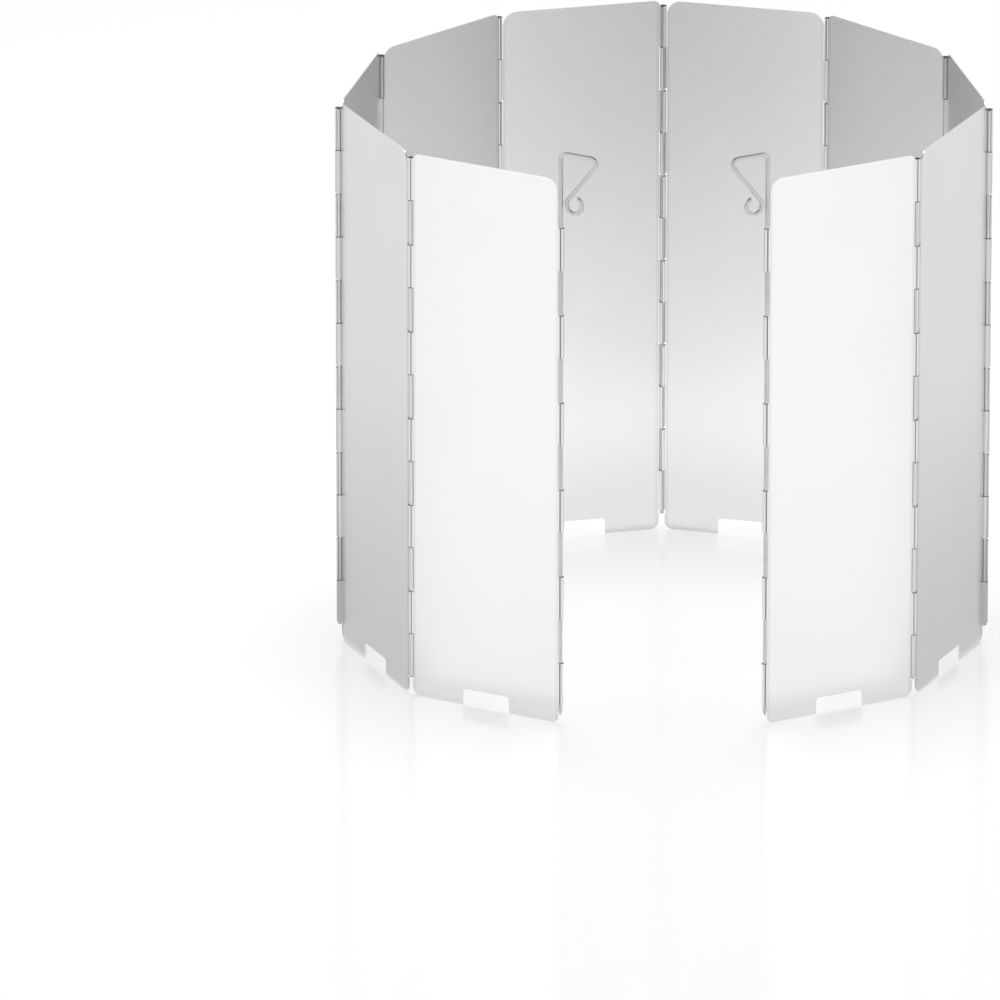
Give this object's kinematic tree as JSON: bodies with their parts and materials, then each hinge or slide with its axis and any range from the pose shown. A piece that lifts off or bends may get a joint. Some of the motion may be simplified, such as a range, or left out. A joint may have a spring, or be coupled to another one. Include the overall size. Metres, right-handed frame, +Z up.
{
  "type": "stove windscreen",
  "caption": "Folding stove windscreen: flat sheet panels hinged on wire pins stand as an open ring with vent notches, fold to a flat stack, and carry sliding ground stakes with handles.",
  "frame": {"origin": "on the ground, in the middle of the ring's outline", "axes": "+Z up, the opening of the ring towards -Y, +X to the right as seen from the opening"},
  "size_m": [0.276, 0.2498, 0.2529],
  "materials": {
    "sheet": "satin rolled sheet, fine upright grain",
    "pin_wire": "drawn bright wire",
    "stake_wire": "polished bent wire"
  },
  "bodies": {
    "leaf_1": {"panel_1": "sheet"},
    "leaf_2": {"panel_2": "sheet", "hinge_pin_1": "pin_wire"},
    "leaf_3": {"panel_3": "sheet", "hinge_pin_2": "pin_wire"},
    "leaf_4": {"panel_4": "sheet", "hinge_pin_3": "pin_wire"},
    "leaf_5": {"panel_5": "sheet", "hinge_pin_4": "pin_wire", "hinge_pin_5": "pin_wire"},
    "leaf_6": {"panel_6": "sheet", "hinge_pin_6": "pin_wire"},
    "leaf_7": {"panel_7": "sheet", "hinge_pin_7": "pin_wire"},
    "leaf_8": {"panel_8": "sheet", "hinge_pin_8": "pin_wire"},
    "leaf_9": {"panel_9": "sheet", "hinge_pin_9": "pin_wire"},
    "leaf_10": {"panel_10": "sheet"},
    "stake_left": {"stake_shank_left": "stake_wire"},
    "stake_right": {"stake_shank_right": "stake_wire"},
    "handle_left": {"stake_handle_left": "stake_wire"},
    "handle_right": {"stake_handle_right": "stake_wire"}
  },
  "joints": [
    {"name": "fold_1", "type": "hinge", "parent": "leaf_2", "child": "leaf_1", "pos_m": [-0.10526, -0.08033, 0.12], "axis": [0, 0, 1], "range_deg": [0, 143]},
    {"name": "fold_2", "type": "hinge", "parent": "leaf_3", "child": "leaf_2", "pos_m": [-0.13658, -0.01548, 0.12], "axis": [0, 0, -1], "range_deg": [0, 217]},
    {"name": "fold_3", "type": "hinge", "parent": "leaf_4", "child": "leaf_3", "pos_m": [-0.11943, 0.05447, 0.12], "axis": [0, 0, 1], "range_deg": [0, 148]},
    {"name": "fold_4", "type": "hinge", "parent": "leaf_5", "child": "leaf_4", "pos_m": [-0.07011, 0.10694, 0.12], "axis": [0, 0, -1], "range_deg": [0, 211]},
    {"name": "fold_5", "type": "hinge", "parent": "leaf_5", "child": "leaf_6", "pos_m": [0, 0.12342, 0.12], "axis": [0, 0, -1], "range_deg": [0, 151]},
    {"name": "fold_6", "type": "hinge", "parent": "leaf_6", "child": "leaf_7", "pos_m": [0.07011, 0.10694, 0.12], "axis": [0, 0, 1], "range_deg": [0, 211]},
    {"name": "fold_7", "type": "hinge", "parent": "leaf_7", "child": "leaf_8", "pos_m": [0.11943, 0.05447, 0.12], "axis": [0, 0, -1], "range_deg": [0, 148]},
    {"name": "fold_8", "type": "hinge", "parent": "leaf_8", "child": "leaf_9", "pos_m": [0.13658, -0.01548, 0.12], "axis": [0, 0, 1], "range_deg": [0, 217]},
    {"name": "fold_9", "type": "hinge", "parent": "leaf_9", "child": "leaf_10", "pos_m": [0.10526, -0.08033, 0.12], "axis": [0, 0, -1], "range_deg": [0, 143]},
    {"name": "stake_slide_left", "type": "slide", "parent": "leaf_1", "child": "stake_left", "axis": [0, 0, -1], "range_m": [0, 0.03]},
    {"name": "stake_slide_right", "type": "slide", "parent": "leaf_10", "child": "stake_right", "axis": [0, 0, -1], "range_m": [0, 0.03]},
    {"name": "handle_swivel_left", "type": "hinge", "parent": "stake_left", "child": "handle_left", "pos_m": [-0.04275, -0.1161, 0.23], "axis": [0, 0, -1], "range_deg": [0, 165]},
    {"name": "handle_swivel_right", "type": "hinge", "parent": "stake_right", "child": "handle_right", "pos_m": [0.04275, -0.1161, 0.23], "axis": [0, 0, 1], "range_deg": [0, 165]}
  ],
  "couplings": [
    {"joint": "fold_1", "follows": "fold_5", "ratio": 0.94702},
    {"joint": "fold_2", "follows": "fold_5", "ratio": 1.4371},
    {"joint": "fold_3", "follows": "fold_5", "ratio": 0.98013},
    {"joint": "fold_4", "follows": "fold_5", "ratio": 1.3974},
    {"joint": "fold_6", "follows": "fold_5", "ratio": 1.3974},
    {"joint": "fold_7", "follows": "fold_5", "ratio": 0.98013},
    {"joint": "fold_8", "follows": "fold_5", "ratio": 1.4371},
    {"joint": "fold_9", "follows": "fold_5", "ratio": 0.94702}
  ]
}
